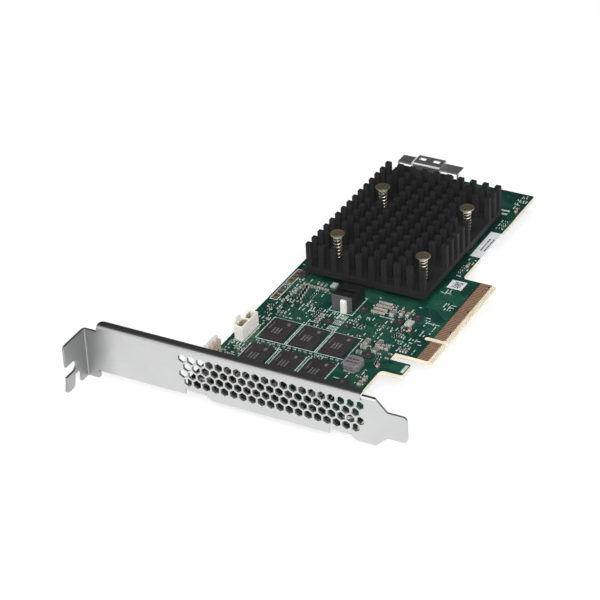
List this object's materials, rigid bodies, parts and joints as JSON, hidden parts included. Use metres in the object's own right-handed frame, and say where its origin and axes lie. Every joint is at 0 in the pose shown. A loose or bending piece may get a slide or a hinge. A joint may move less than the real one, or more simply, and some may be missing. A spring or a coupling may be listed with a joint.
{
  "type": "raid controller card",
  "caption": "Storage controller card with an edge connector, a pin-fin heatsink on spring pins and a full-height vented bracket.",
  "frame": {"origin": "on the bracket's outer face, level with the board's component side and with the contact edge of its connector", "axes": "+X along the card away from the bracket, +Y across the board away from the contact edge towards the bracket's screw tab, +Z normal to the board on its component side"},
  "size_m": [0.1708, 0.1206, 0.0219],
  "materials": {
    "board_mask": "gloss",
    "bracket_steel": "satin",
    "screw_metal": "satin",
    "gold_contact": "satin",
    "black_anodised": "satin",
    "pin_brass": "gloss",
    "spring_wire": "gloss",
    "chip_resin": "matte",
    "package_green": "satin",
    "lid_nickel": "satin",
    "solder": "satin",
    "pad_grey": "matte",
    "inductor_grey": "matte",
    "capacitor_tan": "matte",
    "resistor_black": "satin",
    "amber_body": "satin",
    "white_nylon": "satin",
    "clear_nylon": "satin",
    "pin_tin": "satin",
    "socket_black": "matte",
    "latch_grey": "satin",
    "key_white": "satin",
    "hood_steel": "satin",
    "label_paper": "matte",
    "crystal_metal": "satin"
  },
  "bodies": {
    "root": {"amber_chip_bodies": "amber_body", "bracket_screws": "screw_metal", "capacitor_array": "capacitor_tan", "capacitor_bodies": "capacitor_tan", "chip_terminals": "solder", "circuit_board": "board_mask", "code_label": "label_paper", "controller_lid": "lid_nickel", "controller_solder_balls": "solder", "controller_substrate": "package_green", "crystals": "crystal_metal", "edge_contacts": "gold_contact", "edge_label": "label_paper", "heatsink": "black_anodised", "inductor_terminals": "solder", "memory_chip_1": "chip_resin", "memory_chip_2": "chip_resin", "memory_chip_3": "chip_resin", "memory_chip_4": "chip_resin", "memory_chip_5": "chip_resin", "memory_chip_6": "chip_resin", "module_socket_contacts": "gold_contact", "module_socket_housing": "socket_black", "module_socket_key": "key_white", "module_socket_plate": "latch_grey", "mounting_bracket": "bracket_steel", "pin_spring_1": "spring_wire", "pin_spring_2": "spring_wire", "pin_spring_3": "spring_wire", "pin_spring_4": "spring_wire", "port_contacts": "gold_contact", "port_hood": "hood_steel", "port_housing": "socket_black", "power_inductor": "inductor_grey", "resistor_bodies": "resistor_black", "side_header_housing": "clear_nylon", "side_header_pins": "pin_tin", "small_chips": "chip_resin", "spring_pin_1": "pin_brass", "spring_pin_2": "pin_brass", "spring_pin_3": "pin_brass", "spring_pin_4": "pin_brass", "thermal_pad": "pad_grey", "underside_capacitors": "capacitor_tan", "wire_header_housing": "white_nylon", "wire_header_pins": "pin_tin"}
  },
  "joints": []
}
